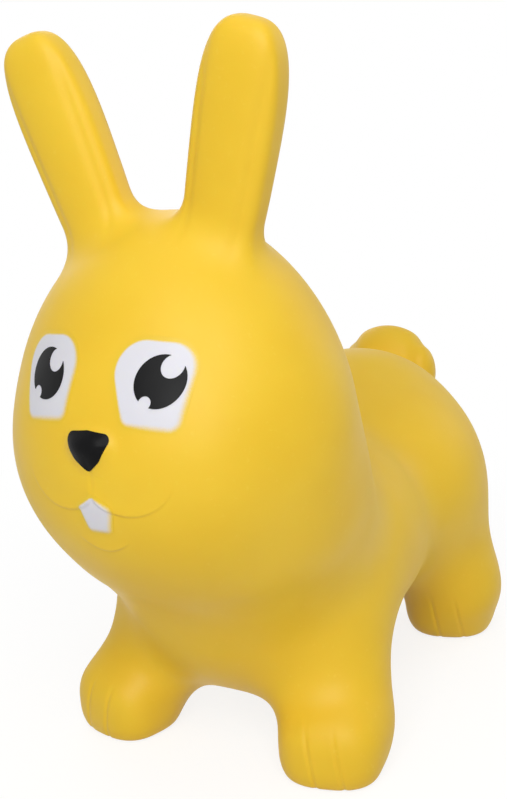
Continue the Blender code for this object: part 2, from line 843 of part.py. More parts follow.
def tooth_outline():
    """Five-sided: its two upper sides run along the mouth."""
    x, _, z = mouth_point
    shoulder = TOOTH_WIDTH / 2 - TOOTH_CORNER
    foot = TOOTH_FOOT_WIDTH / 2 - TOOTH_CORNER
    bottom = z - TOOTH_HEIGHT + TOOTH_CORNER
    return outline_around(
        [
            (x, z - TOOTH_CORNER, TOOTH_CORNER),
            (x - shoulder, z - TOOTH_SHOULDER_DROP, TOOTH_CORNER),
            (x + shoulder, z - TOOTH_SHOULDER_DROP, TOOTH_CORNER),
            (x - foot, bottom, TOOTH_CORNER),
            (x + foot, bottom, TOOTH_CORNER),
        ]
    )


def make_face(skin_mesh):
    mesh = face_mesh(skin_mesh)
    black = (0.012, 0.010, 0.010)
    white = (0.80, 0.78, 0.78)
    films = []
    for side, hand in ((1, "left"), (-1, "right")):
        prism = face_prism(f"{hand}_eye_outline", eye_outline(side))
        paint = plastic(f"{hand} eye white", white, 0.4)
        films.append(make_paint(f"{hand}_eye_white", mesh, PAINT_GAP, prism, paint))
        prism = pupil_prism(f"{hand}_pupil_outline", side)
        paint = plastic(f"{hand} pupil", black, 0.15)
        films.append(make_paint(f"{hand}_pupil", mesh, PAINT_GAP * 2 + PAINT, prism, paint))
    prism = face_prism("nose_outline", nose_outline())
    films.append(make_paint("nose", mesh, PAINT_GAP, prism, plastic("black nose", black, 0.15)))
    prism = face_prism("tooth_outline", tooth_outline())
    paint = plastic("white tooth", white, 0.35)
    films.append(make_paint("tooth", mesh, PAINT_GAP, prism, paint, TOOTH_RELIEF))
    return films


def make_plug():
    """The stopper: a flat head flush with the belly, and a ribbed stem that grips the bore."""
    rib = VALVE_BORE / 2 - PLUG_FIT
    chamfer = PLUG_HEAD_THICKNESS / 4
    outline = [
        (PLUG_HEAD_WIDTH / 2 - chamfer, 0),
        (PLUG_HEAD_WIDTH / 2, chamfer),
        (PLUG_HEAD_WIDTH / 2, PLUG_HEAD_THICKNESS),
        (PLUG_NECK / 2, PLUG_HEAD_THICKNESS),
    ]
    rise = PLUG_HEAD_THICKNESS + PLUG_RIB_PITCH / 4
    for _ in range(PLUG_RIBS):
        outline.append((PLUG_NECK / 2, rise))
        outline.append((rib, rise + PLUG_RIB_PITCH / 4))
        outline.append((PLUG_NECK / 2, rise + PLUG_RIB_PITCH))
        rise += PLUG_RIB_PITCH
    outline.append((PLUG_TIP_WIDTH / 2, PLUG_HEAD_THICKNESS + PLUG_STEM_LENGTH))
    plug = add_object("valve_plug", turned_mesh("valve_plug", outline, 0, 0))
    plug.location = (valve_x, valve_y, valve_face)
    plug.data.materials.append(plastic("white hard PVC", (0.85, 0.84, 0.82), 0.35))
    return plug


def stand_over_origin(pieces, skin_mesh):
    """Parents everything to an empty that puts the middle of the length over the origin."""
    ys = [v.co.y for v in skin_mesh.vertices]
    stand = bpy.data.objects.new("rabbit", None)
    bpy.context.collection.objects.link(stand)
    stand.location.y = -(min(ys) + max(ys)) / 2
    for obj in bpy.data.objects:
        if obj is not stand:
            obj.parent = stand
    for piece in pieces:
        piece.data.shade_smooth()


clear_scene()
skin, skin_mesh = make_skin()
pieces = [skin, make_plug(), *make_face(skin_mesh)]
stand_over_origin(pieces, skin_mesh)
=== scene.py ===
"""The looks of the bouncy ride-on rabbit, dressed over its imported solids.

Metres, in the solids' own frame: +Z up, the rabbit faces -Y, and its own left side is +X.

The skin is the same set of soft eggs that the solids are, melted into each other, but on a fine
mesh and with the small relief that the moulding has: rimmed ears, lips, toes and a lobed tail.
The face is painted on it with thin films.
"""

import math

import bmesh
import bpy
import numpy as np
from mathutils import Euler, Matrix, Vector
from mathutils.bvhtree import BVHTree
from mathutils.geometry import interpolate_bezier


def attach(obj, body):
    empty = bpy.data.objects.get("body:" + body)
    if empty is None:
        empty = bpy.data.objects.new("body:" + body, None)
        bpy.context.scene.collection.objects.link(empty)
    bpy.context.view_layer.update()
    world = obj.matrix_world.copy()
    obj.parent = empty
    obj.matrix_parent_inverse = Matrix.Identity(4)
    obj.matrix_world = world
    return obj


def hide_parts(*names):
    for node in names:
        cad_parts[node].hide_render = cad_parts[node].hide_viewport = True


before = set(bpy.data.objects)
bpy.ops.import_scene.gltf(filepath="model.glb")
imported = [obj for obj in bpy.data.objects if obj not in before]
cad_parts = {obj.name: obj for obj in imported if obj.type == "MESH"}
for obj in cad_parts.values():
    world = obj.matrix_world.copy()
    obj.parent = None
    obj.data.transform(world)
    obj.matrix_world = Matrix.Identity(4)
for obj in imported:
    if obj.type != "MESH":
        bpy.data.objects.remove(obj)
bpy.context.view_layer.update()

RABBIT = "rabbit"
PLUG = "plug"

# Overall sizes
SEAT_HEIGHT = 0.253

# Body eggs: the full width (X), length (Y) and height (Z) of each
TORSO_WIDTH = 0.247
TORSO_LENGTH = 0.324
TORSO_HEIGHT = 0.205
TORSO_PITCH = math.radians(-7)
RUMP_WIDTH = 0.210
RUMP_LENGTH = 0.208
RUMP_HEIGHT = 0.196
CHEST_WIDTH = 0.168
CHEST_LENGTH = 0.168
CHEST_HEIGHT = 0.193
HAUNCH_WIDTH = 0.134
HAUNCH_LENGTH = 0.144
HAUNCH_HEIGHT = 0.144

# Head eggs
HEAD_WIDTH = 0.265
HEAD_LENGTH = 0.222
HEAD_HEIGHT = 0.298
HEAD_TAPER = -0.09
MUZZLE_WIDTH = 0.154
MUZZLE_LENGTH = 0.087
MUZZLE_HEIGHT = 0.117
CHEEK_WIDTH = 0.141

# Ears, the two grips: an ear stands EAR_SUNK deep in the head
EAR_WIDTH = 0.0605
EAR_THICKNESS = 0.040
EAR_LENGTH = 0.199
EAR_SUNK = 0.050
EAR_SPLAY = math.radians(16.5)
EAR_LEAN = math.radians(5.8)
EAR_TAPER = 0.113
EAR_SECTION = 3.2
EAR_PROFILE = 3.0
EAR_FRONT = 0.0098
EAR_FOLD = 0.006
EAR_PILLOW = 0.0085
EAR_RIM = 0.009
EAR_VALLEY_REACH = 0.0035
EAR_VALLEY_DEPTH = 0.0012

# Legs and paws
FRONT_LEG_WIDTH = 0.086
FRONT_LEG_LENGTH = 0.157
FRONT_LEG_SPLAY = math.radians(-22)
FRONT_LEG_LEAN = math.radians(-22)
REAR_LEG_WIDTH = 0.091
REAR_LEG_LENGTH = 0.147
REAR_LEG_SPLAY = math.radians(-23)
REAR_LEG_LEAN = math.radians(6)
FRONT_PAW_WIDTH = 0.083
FRONT_PAW_LENGTH = 0.0725
FRONT_PAW_HEIGHT = 0.0695
FRONT_PAW_RISE = 0.0235
FRONT_PAW_TURN = math.radians(14)
REAR_PAW_WIDTH = 0.085
REAR_PAW_LENGTH = 0.0895
REAR_PAW_HEIGHT = 0.070
REAR_PAW_RISE = 0.0245
REAR_PAW_TURN = math.radians(17)
LEG_PROFILE = 3
PAW_SQUARENESS = 2.6

# Tail
TAIL_WIDTH = 0.098
TAIL_LENGTH = 0.061
TAIL_HEIGHT = 0.092
TAIL_LOBE_WIDTH = 0.070
TAIL_GROOVE_REACH = 0.006
TAIL_GROOVE_DEPTH = 0.0024

# Where each egg's centre lies, in shares of the half sizes of the egg that carries it
RUMP_PLACE_SHARES = (0, 1.015, 0.25)
CHEST_PLACE_SHARES = (0, -0.355, -0.14)
HAUNCH_PLACE_SHARES = (0.54, 0.83, 0.11)
HEAD_PLACE_SHARES = (0, -0.87, 1.39)
MUZZLE_PLACE_SHARES = (0, -0.555, -0.115)
CHEEK_PLACE_SHARES = (0.37, 0.39, -0.55)
EAR_ROOT_SHARES = (0.366, -0.135, 0.89)
FRONT_LEG_PLACE_SHARES = (0.635, -0.42)
FRONT_LEG_RISE_SHARE = 0.99
REAR_LEG_PLACE_SHARES = (0.69, 0.99)
REAR_LEG_RISE_SHARE = 1.22
FRONT_PAW_PLACE_SHARES = (0.78, -0.685)
REAR_PAW_PLACE_SHARES = (0.71, 1.115)
TAIL_PLACE_SHARES = (0, 0.825, 0.61)

# How far the eggs melt into each other
MUZZLE_MELT = 0.050
CHEEK_MELT = 0.050
BODY_MELT = 0.060
HAUNCH_MELT = 0.040
PAW_MELT = 0.025
LEG_MELT = 0.045
NECK_MELT = 0.035
EAR_MELT = 0.022
TAIL_MELT = 0.008
NOSE_MELT = 0.008
SOLE_ROUNDING = 0.0045

# Face, all measured in the front view: each feature's place in shares of the head's half sizes
FACE_SHARES = {
    "eye": (0.32, 0.305),
    "nose": (0, 0.02),
    "mouth": (0, -0.195),
    "chin": (0, -0.475),
}

# Eyes: a white patch, narrower at its foot, whose stencil sat a little off its place, and a
# pupil with two bites for glints, placed in shares of the pupil's half width
EYE_WIDTH = 0.0512
EYE_HEIGHT = 0.0525
EYE_CORNER = 0.018
EYE_FOOT_SHARE = 0.75
EYE_FOOT_CORNER = 0.006
EYE_FOOT_DRIFT = 0.0025
EYE_DRIFT = (-0.0028, 0.0012)
EYE_SLANT = 0.0016
PUPIL_WIDTH = 0.033
PUPIL_INSET = 0.003
PUPIL_RISE = 0.003
GLINT_WIDTH = 0.0145
GLINT_SHARES = (0.39, 0.55)
SMALL_GLINT_WIDTH = 0.0085
SMALL_GLINT_SHARES = (-0.46, -0.78)

# Nose: a triangle on its tip, with an arched top
NOSE_WIDTH = 0.0328
NOSE_HEIGHT = 0.0258
NOSE_LENGTH = 0.024
NOSE_TAPER = 0.3
NOSE_RELIEF = 0.006
NOSE_CORNER = 0.0045
NOSE_ARCH = 0.0014
NOSE_ARCH_RADIUS = 0.012
NOSE_TIP = 0.003

# Tooth
TOOTH_WIDTH = 0.024
TOOTH_FOOT_WIDTH = 0.017
TOOTH_HEIGHT = 0.025
TOOTH_SHOULDER_DROP = 0.009
TOOTH_CORNER = 0.003
TOOTH_RELIEF = 0.0010
TOOTH_EDGE = 0.0018

# Lips: the shares are the knots of half the mouth's line
MOUTH_HALF_WIDTH = 0.060
MOUTH_DROP = 0.0195
MOUTH_SHARES = ((0, 0), (0.18, -0.82), (0.82, -1.0), (1.0, 0.73))
CHIN_WIDTH = 0.043
CHIN_RISE = 0.0095
LIP_SWELL = 0.0014
LIP_REACH = 0.007
LIP_EDGE = 0.0008
PHILTRUM_REACH = 0.0018
PHILTRUM_DEPTH = 0.0004
LINE_POINTS = 24

# Toe creases, two on each paw
TOE_SPACING = 0.022
TOE_LEAN_SHARE = 0.15
TOE_CREASE_TOP = 0.047
TOE_CREASE_REACH = 0.0018
TOE_CREASE_DEPTH = 0.0009
TOE_CREASE_FADE = 0.010

# Paint: thin films over the skin, the sprayed white ones thinner and with a soft edge
PAINT = 0.0006
EYE_PAINT = 0.00015
TOOTH_PAINT = 0.0003
FILM_BED = 0.0003
SPRAY_REACH = 0.0028
SPRAY_FROM = (0.75, -0.66)
CRISP_EDGE = 0.0009
SOFT_EDGE = 0.0026

# Valve under the belly and its plug
VALVE_SHARE = 0.15
VALVE_PAD_WIDTH = 0.050
VALVE_PAD_RELIEF = 0.002
VALVE_PAD_PROFILE = 6
VALVE_BORE = 0.010
PLUG_HEAD_WIDTH = 0.021
PLUG_HEAD_THICKNESS = 0.0026
PLUG_DISH = 0.0006
PLUG_DISH_SHARES = (0.45, 0.55)
PLUG_STEM_LENGTH = 0.017
PLUG_NECK = 0.0076
PLUG_TIP_WIDTH = 0.0055
PLUG_RIBS = 3
PLUG_RIB_PITCH = 0.004
PLUG_FIT = 0.0003
PLUG_EDGE_STEPS = 4
PLUG_RIB_STEPS = 6

# Distances: the probe finds the slope, and a taper goes on past an egg's ends up to its end
PROBE = 0.0005
TINY = 1e-9
TAPER_END = 1.2
LEAST_SLOPE = 0.1
CROSSING_STEPS = 64
CROSSING_HALVINGS = 24

# Meshes
OVERRUN = 0.010
ROUND_SIDES = 64
OUTLINE_POINTS = 160
BALL_ROUNDS = 6
VOXEL = 0.002
RELAX_ROUNDS = 3
REFINE_ROUNDS = 2
LEAST_BEND = 0.000025
FILM_CELL = 0.0008
SHARP_ANGLE = math.radians(40)

# Colours
YELLOW = (0.88, 0.575, 0.027)
YELLOW_DEEP = (0.85, 0.54, 0.021)
YELLOW_DUSTY = (0.91, 0.63, 0.06)
WHITE = (0.76, 0.73, 0.76)
BLACK = (0.005, 0.005, 0.005)
BLACK_WORN = (0.010, 0.010, 0.011)
PLUG_WORN = (0.74, 0.73, 0.71)

# Noises in the colours: (how fine, detail), and the span of each that shows
PATCH_NOISE = (9, 3)
PATCH_SPAN = (0.35, 0.65)
SPECK_NOISE = (260, 2)
SPECK_SPAN = (0.62, 0.8)
SPECK_STRENGTH = 0.35
GRIT_NOISE = (1500, 2)
GRIT_STRENGTH = 0.15
BLACK_NOISE = (120, 3)
PLUG_NOISE = (90, 3)
MIDDLE_SPAN = (0.3, 0.7)

# Finishes: (least roughness, most roughness), its noise, the grain's strength and its noise
FINISHES = {
    "yellow": ((0.46, 0.58), (14, 3), 0.12, (900, 3)),
    "white": ((0.4, 0.5), (30, 3), 0.1, (900, 3)),
    "pupil": ((0.28, 0.4), (60, 3), 0.05, (500, 3)),
    "nose": ((0.2, 0.32), (60, 3), 0.05, (500, 3)),
    "plug": ((0.32, 0.45), (80, 3), 0.05, (700, 3)),
}
GRAIN_DEPTH = 0.0003
PUPIL_SHINE = 0.1
NOSE_SHINE = 0.06
SOFT_PVC = {
    "Subsurface Weight": 0.12,
    "Subsurface Radius": (1.0, 0.45, 0.08),
    "Subsurface Scale": 0.006,
    "Specular IOR Level": 0.4,
    "Sheen Weight": 0.05,
    "Sheen Roughness": 0.45,
}

# Camera, from the photograph's perspective
CAMERA_ANGLES = (29.52, 14.28, -3.15)
CAMERA_TARGET = (0, -0.0430, 0.27568)
CAMERA_DISTANCE = 1.0
CAMERA_FOCUS_PX = 1217.35
PHOTO_HEIGHT_PX = 799
SENSOR = 36
CLIP_START = 0.01

# Light: each lamp's place, size and power.  Near the rabbit the seen floor is a mix of a lit
# floor, which has the shadow, and a glow that brings it up to white.
LIGHTS = {
    "front": ((0.65, -1.40, 1.25), 1.3, 21.4),
    "top": ((0.1, 0.0, 2.1), 1.4, 4),
    "left back": ((1.1, 1.5, 1.0), 1.3, 5),
    "right back": ((-1.4, 1.1, 1.1), 1.4, 6),
}
ROOM_LIGHT = 0.31
FLOOR_RADIUS = 8
FLOOR_SIDES = 96
FLOOR_COLOUR = (0.65, 0.65, 0.65)
FLOOR_ROUGHNESS = 0.8
FLOOR_GLOW = 0.65
FLOOR_WHITE = 1.26
FLOOR_FADE = (0.35, 0.8)


class Egg:
    """A soft egg that may lean, taper and be squarer than round.

    Squareness 2 is round and more is boxier: section for the cross-section, profile for
    the outline along its own height.
    """

    def __init__(self, size, centre, turns=(0, 0, 0), taper=0.0, section=2.0, profile=2.0):
        self.radii = np.array(size) / 2
        self.centre = np.array(centre, float)
        self.turn = np.array(Euler(turns).to_matrix())
        self.taper = taper
        self.section = section
        self.profile = profile

    def place(self, shares):
        """The point that lies at these shares of the half sizes from the centre."""
        return self.centre + self.radii * shares

    def local(self, points):
        return (points - self.centre) @ self.turn

    def distance(self, points):
        """Distance from the surface, negative inside, and exact close to the surface."""
        local = self.local(points)
        height = np.clip(local[:, 2] / self.radii[2], -TAPER_END, TAPER_END)
        swell = 1 + self.taper * height
        unit = local / self.radii
        unit[:, :2] /= swell[:, None]
        size = np.abs(unit) + TINY
        section, profile = self.section, self.profile
        if section == 2 and profile == 2:
            norm = np.sqrt((size**2).sum(axis=1))
            slope = unit / norm[:, None]
        else:
            ring = (size[:, :2] ** section).sum(axis=1)
            norm = (ring ** (profile / section) + size[:, 2] ** profile) ** (1 / profile)
            slope = np.sign(unit)
            slope[:, :2] *= (
                size[:, :2] ** (section - 1) * (ring ** (profile / section - 1))[:, None]
            )
            slope[:, 2] *= size[:, 2] ** (profile - 1)
            slope *= (norm ** (1 - profile))[:, None]
        slope /= self.radii
        slope[:, :2] /= swell[:, None]
        pull = (slope[:, :2] * local[:, :2]).sum(axis=1) / swell
        slope[:, 2] -= pull * self.taper / self.radii[2] * (np.abs(height) < TAPER_END)
        return (norm - 1) / (np.sqrt((slope**2).sum(axis=1)) + TINY)

    def surface(self, directions):
        """Points on the surface towards these unit directions, for a rough mesh."""
        size = np.abs(directions)
        ring = (size[:, :2] ** self.section).sum(axis=1) ** (self.profile / self.section)
        norm = (ring + size[:, 2] ** self.profile) ** (1 / self.profile)
        unit = directions / norm[:, None]
        unit[:, :2] *= (1 + self.taper * unit[:, 2])[:, None]
        return self.centre + (unit * self.radii) @ self.turn.T


def melt(a, b, reach):
    """The union of two distances, rounded where they are within reach of each other."""
    near = np.clip(reach - np.abs(a - b), 0, None) / reach
    return np.minimum(a, b) - near * near * reach / 4


def soft_step(x):
    """0 below -1, 1 above 1 and a smooth rise between."""
    t = np.clip((x + 1) / 2, 0, 1)
    return t * t * (3 - 2 * t)


# The body
torso = Egg(
    (TORSO_WIDTH, TORSO_LENGTH, TORSO_HEIGHT),
    (0, 0, SEAT_HEIGHT - TORSO_HEIGHT / 2),
    turns=(TORSO_PITCH, 0, 0),
)
rump = Egg((RUMP_WIDTH, RUMP_LENGTH, RUMP_HEIGHT), torso.place(RUMP_PLACE_SHARES))
chest = Egg((CHEST_WIDTH, CHEST_LENGTH, CHEST_HEIGHT), torso.place(CHEST_PLACE_SHARES))
haunch = Egg((HAUNCH_WIDTH, HAUNCH_LENGTH, HAUNCH_HEIGHT), torso.place(HAUNCH_PLACE_SHARES))
tail = Egg((TAIL_WIDTH, TAIL_LENGTH, TAIL_HEIGHT), rump.place(TAIL_PLACE_SHARES))

# The head
head = Egg(
    (HEAD_WIDTH, HEAD_LENGTH, HEAD_HEIGHT), torso.place(HEAD_PLACE_SHARES), taper=HEAD_TAPER
)
muzzle = Egg((MUZZLE_WIDTH, MUZZLE_LENGTH, MUZZLE_HEIGHT), head.place(MUZZLE_PLACE_SHARES))
cheek = Egg((CHEEK_WIDTH, CHEEK_WIDTH, CHEEK_WIDTH), head.place(CHEEK_PLACE_SHARES))


def make_ear():
    turns = (EAR_LEAN, EAR_SPLAY, 0)
    upward = np.array(Euler(turns).to_matrix() @ Vector((0, 0, 1)))
    root = head.place(EAR_ROOT_SHARES)
    return Egg(
        (EAR_WIDTH, EAR_THICKNESS, EAR_LENGTH),
        root + upward * (EAR_LENGTH / 2 - EAR_SUNK),
        turns=turns,
        taper=EAR_TAPER,
        section=EAR_SECTION,
        profile=EAR_PROFILE,
    )


def make_leg(width, length, place_shares, rise_share, splay, lean):
    x, y, _ = torso.place((*place_shares, 0))
    centre = (x, y, length / 2 * rise_share)
    return Egg((width, width, length), centre, turns=(lean, splay, 0), profile=LEG_PROFILE)


def make_paw(width, length, height, rise, turn, place_shares):
    x, y, _ = torso.place((*place_shares, 0))
    return Egg(
        (width, length, height),
        (x, y, rise),
        turns=(0, 0, turn),
        section=PAW_SQUARENESS,
        profile=PAW_SQUARENESS,
    )


ear = make_ear()
front_leg = make_leg(
    FRONT_LEG_WIDTH,
    FRONT_LEG_LENGTH,
    FRONT_LEG_PLACE_SHARES,
    FRONT_LEG_RISE_SHARE,
    FRONT_LEG_SPLAY,
    FRONT_LEG_LEAN,
)
rear_leg = make_leg(
    REAR_LEG_WIDTH,
    REAR_LEG_LENGTH,
    REAR_LEG_PLACE_SHARES,
    REAR_LEG_RISE_SHARE,
    REAR_LEG_SPLAY,
    REAR_LEG_LEAN,
)
front_paw = make_paw(
    FRONT_PAW_WIDTH,
    FRONT_PAW_LENGTH,
    FRONT_PAW_HEIGHT,
    FRONT_PAW_RISE,
    FRONT_PAW_TURN,
    FRONT_PAW_PLACE_SHARES,
)
rear_paw = make_paw(
    REAR_PAW_WIDTH,
    REAR_PAW_LENGTH,
    REAR_PAW_HEIGHT,
    REAR_PAW_RISE,
    REAR_PAW_TURN,
    REAR_PAW_PLACE_SHARES,
)


def plain_body(points):
    """Distance from the body, head and legs without any small relief."""
    body = melt(torso.distance(points), rump.distance(points), BODY_MELT)
    body = melt(body, chest.distance(points), BODY_MELT)
    body = melt(body, haunch.distance(points), HAUNCH_MELT)
    front = melt(front_leg.distance(points), front_paw.distance(points), PAW_MELT)
    rear = melt(rear_leg.distance(points), rear_paw.distance(points), PAW_MELT)
    body = melt(body, np.minimum(front, rear), LEG_MELT)
    face = melt(head.distance(points), muzzle.distance(points), MUZZLE_MELT)
    face = melt(face, cheek.distance(points), CHEEK_MELT)
    return melt(body, face, NECK_MELT)


def crossing(start, direction, span):
    """The first point of the plain body met from start along a direction, within span."""
    start, direction = np.array(start, float), np.array(direction, float)
    steps = np.linspace(0, span, CROSSING_STEPS)
    inside = plain_body(start + steps[:, None] * direction) < 0
    near, far = steps[inside.argmax() - 1], steps[inside.argmax()]
    for _ in range(CROSSING_HALVINGS):
        middle = (near + far) / 2
        if plain_body((start + middle * direction)[None])[0] < 0:
            far = middle
        else:
            near = middle
    return start + far * direction


def face_point(name):
    """The point of the skin at a feature's place in the front view."""
    x_share, z_share = FACE_SHARES[name]
    x, _, z = head.place((x_share, 0, z_share))
    return crossing((x, head.centre[1] - HEAD_LENGTH, z), (0, 1, 0), HEAD_LENGTH)


eye_point = face_point("eye")
nose_point = face_point("nose")
mouth_point = face_point("mouth")
chin_point = face_point("chin")
nose = Egg(
    (NOSE_WIDTH, NOSE_LENGTH, NOSE_HEIGHT),
    nose_point + (0, NOSE_LENGTH / 2 - NOSE_RELIEF, 0),
    taper=NOSE_TAPER,
)

valve_x, valve_y, _ = torso.place((0, VALVE_SHARE, 0))
belly = crossing((valve_x, valve_y, 0), (0, 0, 1), SEAT_HEIGHT / 2)
valve_face = belly[2] - VALVE_PAD_RELIEF
valve_pad = Egg(
    (VALVE_PAD_WIDTH, VALVE_PAD_WIDTH, VALVE_PAD_WIDTH / 2),
    (valve_x, valve_y, valve_face + VALVE_PAD_WIDTH / 4),
    profile=VALVE_PAD_PROFILE,
)


def fade(x):
    """1 at 0 and falling smoothly to 0 on both sides."""
    return np.exp(-(x**2))


def ear_distance(points):
    """Distance from the left ear, an egg whose front is cut to a pillowed panel in a rim."""
    x, y, z = ear.local(points).T
    height = np.clip(z / ear.radii[2], -1, 1)
    half_width = ear.radii[0] * (1 + ear.taper * height)
    pillow = EAR_PILLOW * (1 - (x / half_width) ** 2)
    valley = EAR_VALLEY_DEPTH * fade((half_width - EAR_RIM - np.abs(x)) / EAR_VALLEY_REACH)
    panel = valley - pillow - EAR_FRONT - y
    return -melt(-ear.distance(points), -panel, EAR_FOLD)


def along(line, places):
    """Distance from each (x, z) place to a line of points, and the share of the line's length
    where it is nearest."""
    line = np.array(line)
    steps = line[1:] - line[:-1]
    lengths = np.sqrt((steps**2).sum(axis=1))
    starts = np.concatenate([[0], np.cumsum(lengths)])
    best = np.full(len(places), np.inf)
    share = np.zeros(len(places))
    for i, (step, length) in enumerate(zip(steps, lengths)):
        away = places - line[i]
        run = np.clip(away @ step / length**2, 0, 1)
        gap = away - run[:, None] * step
        distance = np.sqrt((gap**2).sum(axis=1))
        near = distance < best
        best[near] = distance[near]
        share[near] = ((starts[i] + run * length) / starts[-1])[near]
    return best, share


def crease(line, places, reach, depth):
    """A soft valley along a line of the front view, which fades out at its ends."""
    distance, share = along(line, places)
    return depth * fade(distance / reach) * np.sin(np.pi * share)


def lip(line, places):
    """A lip that swells above a line of the front view and drops off steeply at it."""
    distance, share = along(line, places)
    side = np.sign(places[:, 1] - np.interp(places[:, 0], *np.array(line).T))
    edge = soft_step(side * distance / LIP_EDGE)
    return -LIP_SWELL * fade(distance / LIP_REACH) * edge * np.sin(np.pi * share)


def mouth_line():
    """The upper lip's line, from corner to corner through its peak under the nose."""
    knots = [
        Vector((x * MOUTH_HALF_WIDTH, mouth_point[2] + z * MOUTH_DROP, 0))
        for x, z in MOUTH_SHARES
    ]
    half = [(p.x, p.y) for p in interpolate_bezier(*knots, LINE_POINTS)]
    return [(-x, z) for x, z in reversed(half[1:])] + half


def chin_line():
    return [
        (CHIN_WIDTH * t / 2, chin_point[2] + CHIN_RISE * t * t)
        for t in np.linspace(-1, 1, LINE_POINTS)
    ]


def face_relief(points):
    """Mouth, philtrum, lower lip and tooth, on the front of the head."""
    places = points[:, [0, 2]]
    relief = lip(mouth_line(), places) + lip(chin_line(), places)
    philtrum = [(0, nose_point[2]), (0, mouth_point[2] - TOOTH_SHOULDER_DROP)]
    relief += crease(philtrum, places, PHILTRUM_REACH, PHILTRUM_DEPTH)
    inset = outline_inset(outline_around(tooth_discs()), places)
    return relief - TOOTH_RELIEF * soft_step(inset / TOOTH_EDGE)


def toe_relief(points, paw):
    """Two creases down the front of a paw."""
    x, y, _ = paw.local(points).T
    z = points[:, 2]
    relief = np.zeros(len(points))
    for side in (-1, 1):
        middle = side * TOE_SPACING / 2 + TOE_LEAN_SHARE * (TOE_CREASE_TOP / 2 - z)
        relief += TOE_CREASE_DEPTH * fade((x - middle) / TOE_CREASE_REACH)
    relief *= soft_step((TOE_CREASE_TOP - z) / TOE_CREASE_FADE)
    return relief * soft_step(-(y + paw.radii[1] / 2) / TOE_CREASE_FADE)


def tail_relief(points):
    """Two grooves that split the tail into three lobes."""
    x = np.abs(tail.local(points)[:, 0])
    return TAIL_GROOVE_DEPTH * fade((x - TAIL_LOBE_WIDTH / 2) / TAIL_GROOVE_REACH)


EGGS = [torso, rump, chest, tail, head, muzzle, nose, valve_pad]
PAIRED_EGGS = [haunch, cheek, ear, front_leg, rear_leg, front_paw, rear_paw]


def rabbit(points):
    """Distance from the whole animal, worked out on its left half and mirrored."""
    points = points.copy()
    points[:, 0] = np.abs(points[:, 0])
    whole = plain_body(points)
    whole = melt(whole, ear_distance(points), EAR_MELT)
    whole = melt(whole, tail.distance(points) + tail_relief(points), TAIL_MELT)
    whole = melt(whole, nose.distance(points), NOSE_MELT)
    whole = melt(whole, valve_pad.distance(points), NOSE_MELT)
    # The face's relief is all on the front, within a quarter of the head's height of the mouth
    front = points[:, 1] < head.centre[1]
    front &= np.abs(points[:, 2] - mouth_point[2]) < HEAD_HEIGHT / 4
    whole[front] += face_relief(points[front])
    low = points[:, 2] < TOE_CREASE_TOP * 2
    whole[low] += toe_relief(points[low], front_paw) + toe_relief(points[low], rear_paw)
    return -melt(-whole, points[:, 2], SOLE_ROUNDING)


def slope_at(points):
    """The slope of the distance, from four probes at the corners of a tetrahedron."""
    corners = np.array([(1, 1, 1), (1, -1, -1), (-1, 1, -1), (-1, -1, 1)], float)
    return sum(c * rabbit(points + c * PROBE)[:, None] for c in corners) / (4 * PROBE)


def settle(points, rounds):
    """Moves the points along the distance's slope until they lie on the surface."""
    for _ in range(rounds):
        slope = slope_at(points)
        steep = np.clip((slope**2).sum(axis=1), LEAST_SLOPE, None)
        points = points - slope * (rabbit(points) / steep)[:, None]
    return points


def relax(points, edges):
    """Moves each point halfway to the middle of its neighbours."""
    count = np.bincount(edges.ravel(), minlength=len(points))
    middle = np.empty_like(points)
    for axis in range(3):
        ends = points[:, axis][edges]
        total = np.bincount(edges[:, 0], ends[:, 1], len(points))
        total += np.bincount(edges[:, 1], ends[:, 0], len(points))
        middle[:, axis] = total / count
    return (points + middle) / 2


def points_of(mesh):
    points = np.empty(len(mesh.vertices) * 3)
    mesh.vertices.foreach_get("co", points)
    return points.reshape(-1, 3)


def edges_of(mesh):
    edges = np.empty(len(mesh.edges) * 2, dtype=np.int64)
    mesh.edges.foreach_get("vertices", edges)
    return edges.reshape(-1, 2)


def add_object(name, mesh):
    obj = bpy.data.objects.new(name, mesh)
    bpy.context.collection.objects.link(obj)
    return obj


def applied(obj):
    """The mesh that an object's modifiers give, with the object itself removed."""
    depsgraph = bpy.context.evaluated_depsgraph_get()
    mesh = bpy.data.meshes.new_from_object(obj.evaluated_get(depsgraph))
    bpy.data.objects.remove(obj)
    return mesh


def rough_mesh(voxel):
    """The eggs as separate shells, joined into one by a voxel remesh."""
    ball = bmesh.new()
    bmesh.ops.create_icosphere(ball, subdivisions=BALL_ROUNDS, radius=1)
    directions = np.array([v.co for v in ball.verts])
    faces = np.array([[v.index for v in f.verts] for f in ball.faces])
    ball.free()
    shells = [e.surface(directions) for e in EGGS + PAIRED_EGGS]
    shells += [e.surface(directions) * (-1, 1, 1) for e in PAIRED_EGGS]
    mesh = bpy.data.meshes.new("rough")
    mesh.from_pydata(
        np.concatenate(shells),
        [],
        np.concatenate([faces + i * len(directions) for i in range(len(shells))]),
    )
    obj = add_object("rough", mesh)
    remesh = obj.modifiers.new("join", "REMESH")
    remesh.mode = "VOXEL"
    remesh.voxel_size = voxel
    return applied(obj)


def boolean(obj, cutter, operation="DIFFERENCE"):
    """Cuts an object with another, which is used up."""
    modifier = obj.modifiers.new("cut", "BOOLEAN")
    modifier.operation = operation
    modifier.object = cutter
    modifier.solver = "EXACT"
    name = obj.name
    mesh = applied(obj)
    bpy.data.objects.remove(cutter)
    return add_object(name, mesh)


